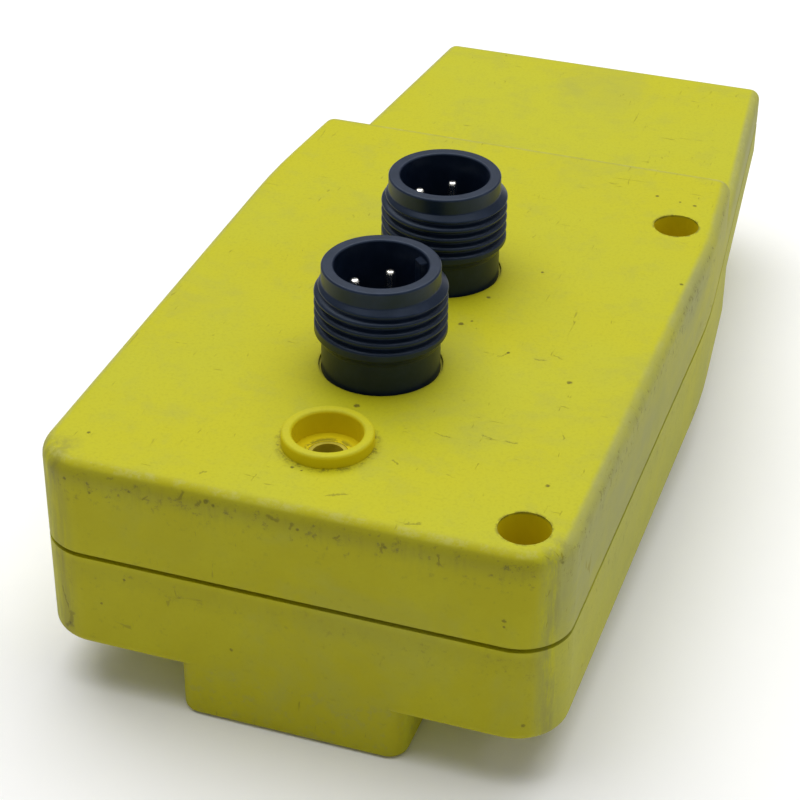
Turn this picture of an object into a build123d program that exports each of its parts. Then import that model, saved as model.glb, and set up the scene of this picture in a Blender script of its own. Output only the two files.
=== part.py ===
"""Retroreflective photoelectric sensor with two round plug connectors on its rear.

Frame: +Z is the rear side, with the connectors. -Y is the near end, +Y the tapered tail.
The origin is under the middle of the housing, at the level of the optics head's front face.
"""
from build123d import *
import math
import os

os.makedirs("parts", exist_ok=True)

# Driving dimensions in millimetres
body_width = 47.65
body_length = 104.6
head_depth = 5.15
front_depth = 9.65
rear_depth = 9.75
rear_tail_drop = 5.4
front_tail_rise = 5.1
rear_step_from_near_end = 69.9
front_step_from_near_end = 75.5
taper_from_near_end = 57.0
taper_angle = 5.5
taper_blend_radius = 90.0
near_corner_radius = 4.75
inner_corner_radius = 1.2
rear_edge_radius = 1.5
tail_edge_radius = 1.2
front_edge_radius = 0.8
step_edge_radius = 0.6
end_edge_radius = 1.0
wall = 2.4
roof = 2.2
smallest_radius = 0.6

# Gap between the shells that shows as a dark line, and the seal behind it
groove_height = 0.45
groove_depth = 0.5
seal_inset = 1.05
seal_width = 0.85
seal_height = 0.7

# Mounting holes through both shells, on the right side only
mount_hole_radius = 2.25
mount_from_side = 4.45
mount_spacing = 54.1
mount_from_near_end = 4.15
mount_boss_radius = 4.1

# Screws that close the housing
closing_screw_radius = 1.25
closing_screw_length = 8.0
tail_screw_length = 5.0
closing_head_radius = 2.2
closing_head_height = 1.7
closing_head_recess = 2.0
closing_boss_radius = 3.3
boss_joint_depth = 4.35
tail_joint_depth = 0.9
boss_gap = 0.15
tail_screw_from_side = 5.0
tail_screw_from_end = 4.7
thread_gap = 0.02
shank_gap = 0.1
screw_tip_gap = 0.2

# Optics head and its window
head_width = 21.0
head_length = 62.4
head_corner_radius = 1.8
head_edge_radius = 0.5
head_wall = 2.0
window_width = 15.4
window_length = 36.0
window_corner_radius = 2.5
window_thickness = 1.5
window_recess = 0.3
window_gap = 0.08
gasket_thickness = 0.2
gasket_width = 1.3
aperture_wall = 0.9
aperture_radius = 5.2

# Lenses, polarisers and the block that holds them
lens_spacing = 17.0
lens_radius = 6.0
lens_rim = 1.0
lens_dome_radius = 5.2
lens_crown = 1.5
polariser_thickness = 0.4
lens_gap = 0.05
holder_width = 15.8
holder_length = 33.4
holder_corner_radius = 1.5
channel_throat_radius = 2.0
diode_pocket = 5.0
diode_pocket_depth = 1.2

# Circuit boards
board_margin = 0.6
cutout_gap = 0.5
optics_board_height = 4.7
optics_board_thickness = 1.2
main_board_sink = 8.5
main_board_thickness = 1.6
board_screw_radius = 1.0
board_screw_length = 4.0
board_head_radius = 1.9
board_head_height = 1.2
board_hole_radius = 1.1
post_radius = 2.3
near_post_from_side = 9.8
near_post_along = 10.0
far_post_from_side = 10.8
far_post_along = 61.5
front_post_from_side = 8.3
front_post_along = 22.0
front_far_post_from_side = 10.3
front_far_post_along = 66.5

# Round plug connectors, size M12
connector_from_near_end = 24.06
connector_spacing = 18.13
connector_height = 10.24
rim_radius = 5.34
rim_height = 1.55
socket_radius = 4.22
thread_radius = 6.0
thread_chamfer = 0.6
collar_radius = 5.38
collar_height = 3.15
seat_gap = 0.05
seat_recess_radius = 5.66
seat_recess_depth = 0.3
tube_radius = 7.4
tube_depth = 1.6
ledge_thickness = 0.7
ledge_gap = 0.05
socket_depth = 9.5
rim_chamfer = 0.15
carrier_gap = 0.02
carrier_foot_radius = 5.2
carrier_foot_height = 0.6
pin_radius = 0.5
pin_circle = 5.0
pin_sink = 2.0
pin_tail = 1.0
pin_gap = 0.02
key_width = 1.4
key_height = 0.6
key_sink = 0.6
key_angles = (45, -45)
oring_thickness = 0.65
oring_sink = 1.6
oring_gap = 0.03
clamp_thickness = 1.0
clamp_width = 20.8
clamp_length = 33.8
clamp_hole_radius = 3.6
clamp_screw_x = 8.0
clamp_screw_length = 4.0
clamp_boss_radius = 2.0

# Ring boss with the sensitivity adjuster under it
ring_from_near_end = 10.4
ring_outer_radius = 4.05
ring_inner_radius = 3.1
ring_height = 1.2
ring_floor_sink = 1.1
ring_edge_radius = 0.3
sleeve_radius = 1.75
sleeve_bore_radius = 1.4
sleeve_flange_radius = 2.8
sleeve_flange_height = 1.0
sleeve_gap = 0.05
trimmer_side = 6.4
trimmer_height = 2.6
rotor_radius = 1.5
rotor_height = 1.1
rotor_sink = 0.1
rotor_gap = 0.08
rotor_stem_radius = 0.7
rotor_stem_length = 0.9
rotor_slot_width = 0.5
rotor_slot_depth = 0.5

# Components on the boards
chip_side = 9.0
chip_height = 1.4
chip_from_near_end = 32.0
chip_from_side = 11.8
inductor_side = 7.0
inductor_height = 3.0
inductor_chamfer = 1.2
transistor_width = 4.6
transistor_length = 6.4
transistor_height = 1.6
transistor_from_side = 8.2
transistor_near_along = 22.0
transistor_far_along = 40.0
capacitor_radius = 2.5
capacitor_height = 4.4
capacitor_from_near_end = 67.5
capacitor_pitch = 7.0
header_width = 5.0
header_length = 10.0
header_from_near_end = 57.5
led_side = 3.2
led_base_height = 0.5
led_dome_radius = 1.2
photodiode_side = 4.0
photodiode_height = 0.9
indicator_from_near_end = 69.0
indicator_radius = 2.0
indicator_flange_radius = 3.0
indicator_flange_height = 0.8
indicator_gap = 0.05
indicator_led_side = 2.0
indicator_led_height = 0.8
indicator_air_gap = 0.3

# Levels and places worked out from the driving dimensions
near_end = -body_length / 2
far_end = body_length / 2
front_level = head_depth
parting_level = front_level + front_depth
rear_level = parting_level + rear_depth
tail_level = rear_level - rear_tail_drop
tail_front_level = front_level + front_tail_rise
floor_level = front_level + roof
tail_floor_level = tail_front_level + roof
ceiling_level = rear_level - roof
tail_ceiling_level = tail_level - roof
step_y = near_end + rear_step_from_near_end
front_step_y = near_end + front_step_from_near_end
taper_y = near_end + taper_from_near_end
mount_near_y = near_end + mount_from_near_end
mount_far_y = mount_near_y + mount_spacing
boss_joint_level = parting_level - boss_joint_depth
tail_joint_level = parting_level - tail_joint_depth
head_center_y = near_end + head_length / 2
head_top_level = front_level + roof
aperture_level = window_recess + window_thickness + gasket_thickness
optics_floor_level = aperture_level + aperture_wall
lens_places = [head_center_y - lens_spacing / 2, head_center_y + lens_spacing / 2]
connector_places = [near_end + connector_from_near_end,
                    near_end + connector_from_near_end + connector_spacing]
connector_middle_y = sum(connector_places) / 2
rim_level = rear_level + connector_height
tube_end_level = ceiling_level - tube_depth
ledge_level = tube_end_level + ledge_thickness
carrier_foot_level = tube_end_level - carrier_foot_height
clamp_level = carrier_foot_level - clamp_thickness
carrier_level = rim_level - socket_depth
ring_y = near_end + ring_from_near_end
ring_floor_level = rear_level - ring_floor_sink
main_board_level = rear_level - main_board_sink
main_board_top = main_board_level + main_board_thickness
optics_board_level = front_level + optics_board_height
optics_board_top = optics_board_level + optics_board_thickness
trimmer_top = main_board_top + trimmer_height


def half_width(y, inset):
    """Half the housing's width on the tapered stretch, at y, with its side moved in by inset."""
    angle = math.radians(taper_angle)
    return body_width / 2 - inset / math.cos(angle) - math.tan(angle) * (y - taper_y)


def from_side(y, distance):
    """How far from the middle a place is that lies this distance inside the side wall at y."""
    return min(body_width / 2, half_width(y, 0)) - distance


def both_sides(distance, along):
    """Left and right places this distance from the sides and this far from the near end."""
    y = near_end + along
    x = from_side(y, distance)
    return [(-x, y), (x, y)]


mount_x = from_side(near_end, mount_from_side)
mount_places = [(mount_x, mount_near_y), (mount_x, mount_far_y)]
main_closing_places = [(-mount_x, mount_near_y), (-mount_x, mount_far_y)]
tail_closing_places = both_sides(tail_screw_from_side, body_length - tail_screw_from_end)
main_posts = (both_sides(near_post_from_side, near_post_along)
              + both_sides(far_post_from_side, far_post_along))
optics_posts = (both_sides(front_post_from_side, front_post_along)
                + both_sides(front_far_post_from_side, front_far_post_along))
clamp_screw_places = [(-clamp_screw_x, connector_middle_y), (clamp_screw_x, connector_middle_y)]
chip_place = both_sides(chip_from_side, chip_from_near_end)[0]
inductor_place = both_sides(chip_from_side, chip_from_near_end)[1]


def plan_outline(inset, end_y, end_radius):
    """The housing's outline from above, moved in by inset; end_radius 0 leaves its end sharp."""
    side = body_width / 2 - inset
    start = near_end + inset
    end = end_y - inset
    bend = taper_y - inset * math.tan(math.radians(taper_angle / 2))
    end_half = half_width(end, inset)
    points = [(-side, start), (side, start), (side, bend),
              (end_half, end), (-end_half, end), (-side, bend)]
    face = make_face(Polyline(*points, close=True))
    near_corners = face.vertices().group_by(Axis.Y)[0]
    face = fillet(near_corners, max(near_corner_radius - inset, smallest_radius))
    if end_radius > 0:
        face = fillet(face.vertices().group_by(Axis.Y)[-1], end_radius)
    bends = face.vertices().filter_by(lambda corner: abs(corner.Y - bend) < 0.001)
    return fillet(bends, taper_blend_radius)


def slab(face, low, high):
    """The face as a plate from one level to another."""
    return extrude(Pos(0, 0, low) * face, amount=high - low)


def disc(place, radius, low, high):
    """A round bar on a vertical axis at an (x, y) place, from one level to another."""
    return Pos(place[0], place[1], low) * Cylinder(
        radius, high - low, align=(Align.CENTER, Align.CENTER, Align.MIN))


def block(place, width, length, low, high):
    """A rectangular block centred on an (x, y) place, from one level to another."""
    return Pos(place[0], place[1], low) * Box(
        width, length, high - low, align=(Align.CENTER, Align.CENTER, Align.MIN))


def turned(points):
    """A solid of revolution about the vertical axis, from (radius, level) points."""
    profile = make_face(Polyline(*[(r, 0, z) for r, z in points], close=True))
    return revolve(profile, Axis.Z)


def add_all(body, pieces):
    """The body with each of the pieces fused on."""
    for piece in pieces:
        body = body + piece
    return body


def cut_all(body, tools):
    """The body with each of the tools cut away."""
    for tool in tools:
        body = body - tool
    return body


def closing_seats():
    """For each closing screw: place, front face, boss joint and screw length."""
    main = [(p, front_level, boss_joint_level, closing_screw_length) for p in main_closing_places]
    tail = [(p, tail_front_level, tail_joint_level, tail_screw_length)
            for p in tail_closing_places]
    return main + tail


def shell_body(end_y, low, high, side_radius, end_radius, faces_up):
    """A plate of the housing's outline with rounded outer edges: its sides first, then its end."""
    plate = slab(plan_outline(0, end_y, 0), low, high)
    outer = plate.faces().sort_by(Axis.Z)[-1 if faces_up else 0]
    sides = outer.edges().filter_by(lambda edge: edge.center().Y < end_y - 0.001)
    plate = fillet(sides, side_radius)
    end_face = plate.faces().sort_by(Axis.Y)[-1]
    outline = end_face.edges().sort_by(Axis.Z)
    return fillet(outline[1:] if faces_up else outline[:-1], end_radius)


def make_rear_cover():
    """Rear shell: raised main part, lower tail, ring boss, bosses, tubes, posts and holes."""
    tail = shell_body(far_end, parting_level, tail_level, tail_edge_radius, end_edge_radius, True)
    raised = shell_body(step_y, parting_level, rear_level, rear_edge_radius, step_edge_radius, True)
    body = tail + raised
    corner = inner_corner_radius
    hollow = slab(plan_outline(wall, far_end, corner), parting_level, tail_ceiling_level)
    hollow += slab(plan_outline(wall, step_y, corner), parting_level, ceiling_level)
    inside = slab(plan_outline(wall / 2, far_end, corner), parting_level, tail_level - roof / 2)
    inside += slab(plan_outline(wall / 2, step_y, corner), parting_level, rear_level - roof / 2)
    inside += slab(plan_outline(wall + boss_gap, far_end, corner), boss_joint_level, parting_level)
    groove = slab(plan_outline(0, far_end, end_edge_radius), parting_level,
                  parting_level + groove_height)
    groove -= slab(plan_outline(groove_depth, far_end, end_edge_radius), parting_level,
                   parting_level + groove_height)
    body = body - hollow - groove

    mount_bosses = [disc(p, mount_boss_radius, parting_level, rear_level) for p in mount_places]
    closing_bosses = [disc(place, closing_boss_radius, joint, rear_level)
                      for place, front, joint, length in closing_seats()]
    posts = [disc(p, post_radius, main_board_top, rear_level) for p in main_posts]
    clamp_bosses = [disc(p, clamp_boss_radius, carrier_foot_level, rear_level)
                    for p in clamp_screw_places]
    tubes = [disc((0, y), tube_radius, tube_end_level, rear_level) for y in connector_places]
    for piece in mount_bosses + closing_bosses + posts + clamp_bosses + tubes:
        body = body + (piece & inside)
    ring = disc((0, ring_y), ring_outer_radius, rear_level - roof / 2, rear_level + ring_height)
    body = body + ring

    cuts = [disc((0, ring_y), ring_inner_radius, ring_floor_level, rear_level + ring_height)]
    cuts += [disc((0, ring_y), sleeve_radius + sleeve_gap, ceiling_level, ring_floor_level)]
    cuts += [disc(p, mount_hole_radius, parting_level, rear_level) for p in mount_places]
    for y in connector_places:
        cuts += [disc((0, y), collar_radius + seat_gap, ledge_level, rear_level)]
        cuts += [disc((0, y), socket_radius + ledge_gap, tube_end_level, ledge_level)]
        cuts += [disc((0, y), seat_recess_radius, rear_level - seat_recess_depth, rear_level)]
    for place, front, joint, length in closing_seats():
        tip = front + closing_head_recess + length + screw_tip_gap
        cuts += [disc(place, closing_screw_radius + thread_gap, joint, tip)]
    pilot = board_screw_radius + thread_gap
    cuts += [disc(p, pilot, main_board_top, main_board_top + board_screw_length) for p in main_posts]
    clamp_tip = clamp_level + clamp_screw_length + screw_tip_gap
    cuts += [disc(p, pilot, carrier_foot_level, clamp_tip) for p in clamp_screw_places]
    body = cut_all(body, cuts)
    ring_top = body.edges().filter_by(GeomType.CIRCLE).filter_by(
        lambda edge: abs(edge.center().Z - rear_level - ring_height) < 0.001)
    return fillet(ring_top, ring_edge_radius)


def make_front_housing():
    """Front shell: floor, wall with the seal's channel, optics head, bosses and posts."""
    tail = shell_body(far_end, tail_front_level, parting_level, tail_edge_radius,
                      end_edge_radius, False)
    deep = shell_body(front_step_y, front_level, parting_level, front_edge_radius,
                      step_edge_radius, False)
    head_plan = RectangleRounded(head_width, head_length, head_corner_radius)
    head = Pos(0, head_center_y, 0) * slab(head_plan, 0, head_top_level)
    head = fillet(head.faces().sort_by(Axis.Z)[0].edges(), head_edge_radius)
    body = tail + deep + head
    corner = inner_corner_radius
    hollow = slab(plan_outline(wall, far_end, corner), tail_floor_level, parting_level)
    hollow += slab(plan_outline(wall, front_step_y, corner), floor_level, parting_level)
    body -= hollow
    hollow_plan = RectangleRounded(head_width - 2 * head_wall, head_length - 2 * head_wall,
                                   smallest_radius)
    body -= Pos(0, head_center_y, 0) * slab(hollow_plan, optics_floor_level, floor_level)
    seal_outer = plan_outline(seal_inset, far_end, corner)
    seal_inner = plan_outline(seal_inset + seal_width, far_end, corner)
    body -= slab(seal_outer, parting_level - seal_height, parting_level) - slab(
        seal_inner, parting_level - seal_height, parting_level)

    inside = slab(plan_outline(wall / 2, far_end, corner), tail_front_level + roof / 2,
                  parting_level - seal_height)
    inside += slab(plan_outline(wall / 2, front_step_y, corner), front_level + roof / 2,
                   parting_level - seal_height)
    rim_inside = slab(plan_outline(wall, front_step_y, corner), front_level + roof / 2,
                      parting_level)
    for place in mount_places:
        body = body + (disc(place, mount_boss_radius, floor_level, parting_level) & rim_inside)
    for place, front, joint, length in closing_seats():
        body = body + (disc(place, closing_boss_radius, front, joint) & inside)
    posts = [disc(p, post_radius, front_level + roof / 2, optics_board_level) for p in optics_posts]
    body = add_all(body, posts)

    cuts = [disc(p, mount_hole_radius, front_level, parting_level) for p in mount_places]
    for place, front, joint, length in closing_seats():
        seat = front + closing_head_recess
        cuts += [disc(place, closing_head_radius + shank_gap, front, seat)]
        cuts += [disc(place, closing_screw_radius + shank_gap, seat, joint)]
    board_tip = optics_board_top - board_screw_length - screw_tip_gap
    cuts += [disc(p, board_screw_radius + thread_gap, board_tip, optics_board_level)
             for p in optics_posts]
    indicator_place = (0, near_end + indicator_from_near_end)
    cuts += [disc(indicator_place, indicator_radius + indicator_gap, front_level, floor_level)]
    rebate = RectangleRounded(window_width + 2 * window_gap, window_length + 2 * window_gap,
                              window_corner_radius)
    cuts += [Pos(0, head_center_y, 0) * slab(rebate, 0, aperture_level)]
    aperture = SlotCenterToCenter(lens_spacing, 2 * aperture_radius, rotation=90)
    cuts += [Pos(0, head_center_y, 0) * slab(aperture, aperture_level, optics_floor_level)]
    return cut_all(body, cuts)


def make_housing_seal():
    """Rubber cord that lies in the front shell's channel and touches the rear cover."""
    gap = carrier_gap
    outer = plan_outline(seal_inset + gap, far_end, inner_corner_radius)
    inner = plan_outline(seal_inset + seal_width - gap, far_end, inner_corner_radius)
    low = parting_level - seal_height
    return slab(outer, low, parting_level) - slab(inner, low, parting_level)


def pan_screw(place, seat, shank_radius, length, head_radius, head_height, points_up):
    """A cross-recess pan head screw whose head rests on seat, with its point up or down."""
    head_profile = [(0, 0), (head_radius, 0), (head_radius, -0.5 * head_height),
                    (0.7 * head_radius, -head_height), (0, -head_height)]
    head = turned(head_profile)
    recess_depth = 0.5 * head_height
    for turn in (0, 90):
        slot = Box(1.3 * head_radius, 0.28 * head_radius, recess_depth,
                   align=(Align.CENTER, Align.CENTER, Align.MIN))
        head -= Pos(0, 0, -head_height) * Rot(0, 0, turn) * slot
    shank = turned([(0, -0.4 * head_height), (shank_radius, -0.4 * head_height),
                    (shank_radius, length - shank_radius), (0.3 * shank_radius, length), (0, length)])
    screw = head + shank
    if not points_up:
        screw = Rot(180, 0, 0) * screw
    return Pos(place[0], place[1], seat) * screw


def make_housing_screws():
    """The four screws that close the housing, driven in from the front."""
    return Compound([pan_screw(place, front + closing_head_recess, closing_screw_radius, length,
                               closing_head_radius, closing_head_height, True)
                     for place, front, joint, length in closing_seats()])


def make_board_screws():
    """Screws of both boards: the main board's point up, the optics board's point down."""
    up = [pan_screw(p, main_board_level, board_screw_radius, board_screw_length,
                    board_head_radius, board_head_height, True) for p in main_posts]
    down = [pan_screw(p, optics_board_top, board_screw_radius, board_screw_length,
                      board_head_radius, board_head_height, False) for p in optics_posts]
    return Compound(up + down)


def make_clamp_screws():
    """The two screws that hold the connector clamp."""
    return Compound([pan_screw(p, clamp_level, board_screw_radius, clamp_screw_length,
                               board_head_radius, board_head_height, True)
                     for p in clamp_screw_places])


def make_connector_shell(y, key_angle):
    """Threaded shell pushed into the cover from outside, with a key inside its socket."""
    collar_top = rear_level + collar_height
    thread_top = rim_level - rim_height
    chamfer_drop = thread_chamfer
    edge = rim_chamfer
    points = [(socket_radius, ledge_level), (collar_radius, ledge_level),
              (collar_radius, collar_top), (thread_radius, collar_top + chamfer_drop),
              (thread_radius, thread_top - chamfer_drop), (rim_radius, thread_top),
              (rim_radius, rim_level - edge), (rim_radius - edge, rim_level),
              (socket_radius + edge, rim_level), (socket_radius, rim_level - edge)]
    shell = turned(points)
    groove_bottom = oring_center_radius() - oring_thickness / 2 - oring_gap
    groove_low = oring_level() - oring_thickness / 2 - oring_gap
    groove_high = oring_level() + oring_thickness / 2 + oring_gap
    shell -= turned([(groove_bottom, groove_low), (collar_radius + seat_gap, groove_low),
                     (collar_radius + seat_gap, groove_high), (groove_bottom, groove_high)])
    key_reach = key_height + rim_chamfer
    key = Pos(socket_radius - key_height, 0, carrier_level) * Box(
        key_reach, key_width, rim_level - key_sink - carrier_level,
        align=(Align.MIN, Align.CENTER, Align.MIN))
    shell += Rot(0, 0, key_angle) * key
    return Pos(0, y, 0) * shell


def oring_center_radius():
    """Radius of the O-ring's middle line, where its outside touches the cover's hole."""
    return collar_radius + seat_gap - oring_thickness / 2


def oring_level():
    """Level of the O-ring's middle, below the cover's top."""
    return rear_level - oring_sink


def make_contact_insert(y):
    """Insulating carrier with a foot under the cover's tube and a hole for each contact pin."""
    body_radius = socket_radius - carrier_gap
    carrier = turned([(0, carrier_foot_level), (carrier_foot_radius, carrier_foot_level),
                      (carrier_foot_radius, tube_end_level), (body_radius, tube_end_level),
                      (body_radius, carrier_level), (0, carrier_level)])
    for x, along in pin_places():
        carrier -= disc((x, along), pin_radius + pin_gap, carrier_foot_level, carrier_level)
    return Pos(0, y, 0) * carrier


def pin_places():
    """The four contact places around a connector's axis."""
    turns = [math.radians(90 * quarter) for quarter in range(4)]
    return [(pin_circle / 2 * math.cos(turn), pin_circle / 2 * math.sin(turn)) for turn in turns]


def make_contact_pins(y):
    """Four round pins with domed tips, long enough to pass through the main board."""
    tip = rim_level - pin_sink
    tail = main_board_level - pin_tail
    pins = []
    for x, along in pin_places():
        pin = disc((x, along), pin_radius, tail, tip)
        pin = fillet(pin.edges().sort_by(Axis.Z)[-1], 0.7 * pin_radius)
        pins.append(Pos(0, y, 0) * pin)
    return Compound(pins)


def make_connector_oring(y):
    """Round rubber ring in the shell's groove, against the cover's hole."""
    return Pos(0, y, oring_level()) * Torus(oring_center_radius(), oring_thickness / 2)


def make_connector_clamp():
    """Plate that presses both contact inserts against the cover's tubes."""
    plate = Pos(0, connector_middle_y, 0) * slab(
        RectangleRounded(clamp_width, clamp_length, clamp_boss_radius), clamp_level,
        carrier_foot_level)
    for y in connector_places:
        plate -= disc((0, y), clamp_hole_radius, clamp_level, carrier_foot_level)
    for place in clamp_screw_places:
        plate -= disc(place, board_hole_radius, clamp_level, carrier_foot_level)
    return plate


def make_main_board():
    """Upper circuit board, cut out around the housing's bosses and drilled for the pins."""
    board = slab(plan_outline(wall + board_margin, step_y, inner_corner_radius),
                 main_board_level, main_board_top)
    cuts = [disc(p, mount_boss_radius + cutout_gap, main_board_level, main_board_top)
            for p in mount_places]
    cuts += [disc(p, closing_boss_radius + cutout_gap, main_board_level, main_board_top)
             for p in main_closing_places]
    cuts += [disc(p, board_hole_radius, main_board_level, main_board_top) for p in main_posts]
    cuts += [disc((x, y + along), pin_radius + pin_gap, main_board_level, main_board_top)
             for y in connector_places for x, along in pin_places()]
    return cut_all(board, cuts)


def make_optics_board():
    """Lower circuit board, from the near end to the front shell's step."""
    board = slab(plan_outline(wall + board_margin, front_step_y, inner_corner_radius),
                 optics_board_level, optics_board_top)
    cuts = [disc(p, mount_boss_radius + cutout_gap, optics_board_level, optics_board_top)
            for p in mount_places]
    cuts += [disc(p, closing_boss_radius + cutout_gap, optics_board_level, optics_board_top)
             for p in main_closing_places]
    cuts += [disc(p, board_hole_radius, optics_board_level, optics_board_top)
             for p in optics_posts]
    return cut_all(board, cuts)


def make_adjuster_sleeve():
    """Guide tube between the ring boss's floor and the adjuster."""
    flange_low = ceiling_level - sleeve_flange_height
    sleeve = turned([(sleeve_bore_radius, trimmer_top), (sleeve_radius, trimmer_top),
                     (sleeve_radius, flange_low), (sleeve_flange_radius, flange_low),
                     (sleeve_flange_radius, ceiling_level), (sleeve_radius, ceiling_level),
                     (sleeve_radius, ring_floor_level), (sleeve_bore_radius, ring_floor_level)])
    return Pos(0, ring_y, 0) * sleeve


def rotor_bottom():
    """Level of the underside of the rotor's disc."""
    return trimmer_top - rotor_sink - rotor_height


def make_trimmer_body():
    """Square body of the adjuster with a stepped bore for its rotor."""
    body = block((0, ring_y), trimmer_side, trimmer_side, main_board_top, trimmer_top)
    body = fillet(body.edges().filter_by(Axis.Z), 0.4)
    body -= disc((0, ring_y), rotor_radius + rotor_gap, rotor_bottom() - rotor_sink, trimmer_top)
    stem_floor = rotor_bottom() - rotor_stem_length - rotor_sink
    body -= disc((0, ring_y), rotor_stem_radius + rotor_gap, stem_floor, trimmer_top)
    return body


def make_trimmer_rotor():
    """Slotted disc on a short stem, turned with a screwdriver."""
    low = rotor_bottom()
    top = low + rotor_height
    rotor = disc((0, ring_y), rotor_radius, low, top)
    rotor += disc((0, ring_y), rotor_stem_radius, low - rotor_stem_length, low + 0.2)
    rotor -= block((0, ring_y), rotor_slot_width, 1.7 * rotor_radius, top - rotor_slot_depth, top)
    return rotor


def make_optics_holder():
    """Black block with a lens seat, a narrowing light channel and a diode pocket for each side."""
    plan = RectangleRounded(holder_width, holder_length, holder_corner_radius)
    holder = Pos(0, head_center_y, 0) * slab(plan, optics_floor_level, optics_board_level)
    seat_top = optics_floor_level + polariser_thickness + lens_rim
    pocket_low = optics_board_level - diode_pocket_depth
    for y in lens_places:
        holder -= disc((0, y), lens_radius + lens_gap, optics_floor_level, seat_top)
        cone = turned([(0, seat_top), (lens_dome_radius + 0.2, seat_top),
                       (channel_throat_radius, pocket_low), (0, pocket_low)])
        holder -= Pos(0, y, 0) * cone
        holder -= block((0, y), diode_pocket, diode_pocket, pocket_low, optics_board_level)
    return holder


def make_lens(y):
    """Flat-fronted lens with a thin rim and a domed back, part of a sphere."""
    low = optics_floor_level + polariser_thickness
    rim_top = low + lens_rim
    sphere_radius = (lens_dome_radius ** 2 + lens_crown ** 2) / (2 * lens_crown)
    ball = Pos(0, y, rim_top + lens_crown - sphere_radius) * Sphere(sphere_radius)
    dome = ball & disc((0, y), lens_radius, rim_top - 0.1, rim_top + lens_crown + 1)
    return disc((0, y), lens_radius, low, rim_top) + dome


def make_polariser(y):
    """Thin disc between the window's aperture and the lens."""
    low = optics_floor_level
    return disc((0, y), lens_radius, low, low + polariser_thickness)


def make_front_window():
    """Clear plate that closes the optics head."""
    plan = RectangleRounded(window_width, window_length, window_corner_radius)
    plate = slab(plan, window_recess, window_recess + window_thickness)
    plate = chamfer(plate.faces().sort_by(Axis.Z)[0].edges(), 0.3)
    return Pos(0, head_center_y, 0) * plate


def make_window_seal():
    """Flat gasket behind the window's edge."""
    low = window_recess + window_thickness
    outer = slab(RectangleRounded(window_width, window_length, window_corner_radius),
                 low, aperture_level)
    inner_radius = max(window_corner_radius - gasket_width, smallest_radius)
    inner = slab(RectangleRounded(window_width - 2 * gasket_width,
                                  window_length - 2 * gasket_width, inner_radius),
                 low, aperture_level)
    return Pos(0, head_center_y, 0) * (outer - inner)


def make_emitter_led():
    """Light source on the underside of the optics board."""
    place = (0, lens_places[0])
    base = block(place, led_side, led_side, optics_board_level - led_base_height, optics_board_level)
    dome = Pos(place[0], place[1], optics_board_level - led_base_height) * Sphere(led_dome_radius)
    keep = block(place, led_side, led_side, optics_board_level - led_side, optics_board_level)
    return base + (dome & keep)


def make_receiver_photodiode():
    """Detector on the underside of the optics board."""
    place = (0, lens_places[1])
    low = optics_board_level - photodiode_height
    chip = block(place, photodiode_side, photodiode_side, low, optics_board_level)
    return chamfer(chip.faces().sort_by(Axis.Z)[0].edges(), 0.2)


def make_indicator_led():
    """Status light source on the underside of the optics board."""
    place = (0, near_end + indicator_from_near_end)
    low = optics_board_level - indicator_led_height
    return block(place, indicator_led_side, indicator_led_side, low, optics_board_level)


def make_indicator_light_pipe():
    """Stepped clear plug that carries the status light to the front face."""
    top = optics_board_level - indicator_led_height - indicator_air_gap
    flange_top = floor_level + indicator_flange_height
    pipe = turned([(0, front_level), (indicator_radius, front_level),
                   (indicator_radius, floor_level), (indicator_flange_radius, floor_level),
                   (indicator_flange_radius, flange_top), (indicator_radius, flange_top),
                   (indicator_radius, top), (0, top)])
    return Pos(0, near_end + indicator_from_near_end, 0) * pipe


def make_controller_chip():
    """Flat square chip under the main board."""
    low = main_board_level - chip_height
    chip = block(chip_place, chip_side, chip_side, low, main_board_level)
    return chamfer(chip.faces().sort_by(Axis.Z)[0].edges(), 0.25)


def make_power_inductor():
    """Square shielded coil under the main board."""
    low = main_board_level - inductor_height
    coil = block(inductor_place, inductor_side, inductor_side, low, main_board_level)
    return chamfer(coil.edges().filter_by(Axis.Z), inductor_chamfer)


def make_output_transistors():
    """Output switches on the main board, beside the connectors."""
    pieces = []
    for along in (transistor_near_along, transistor_far_along):
        for x, y in both_sides(transistor_from_side, along):
            body = block((x, y), transistor_width, transistor_length, main_board_top,
                         main_board_top + transistor_height)
            pieces.append(chamfer(body.faces().sort_by(Axis.Z)[-1].edges(), 0.3))
    return Compound(pieces)


def make_capacitors():
    """Three round capacitors near the step, standing on the optics board."""
    pieces = []
    for step in (-1, 0, 1):
        can = disc((step * capacitor_pitch, near_end + capacitor_from_near_end), capacitor_radius,
                   optics_board_top, optics_board_top + capacitor_height)
        pieces.append(fillet(can.edges().sort_by(Axis.Z)[-1], 0.4))
    return Compound(pieces)


def make_board_header():
    """Stacking connector between the two boards."""
    place = (0, near_end + header_from_near_end)
    body = block(place, header_width, header_length, optics_board_top, main_board_level)
    return chamfer(body.edges().filter_by(Axis.Z), 0.5)


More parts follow.
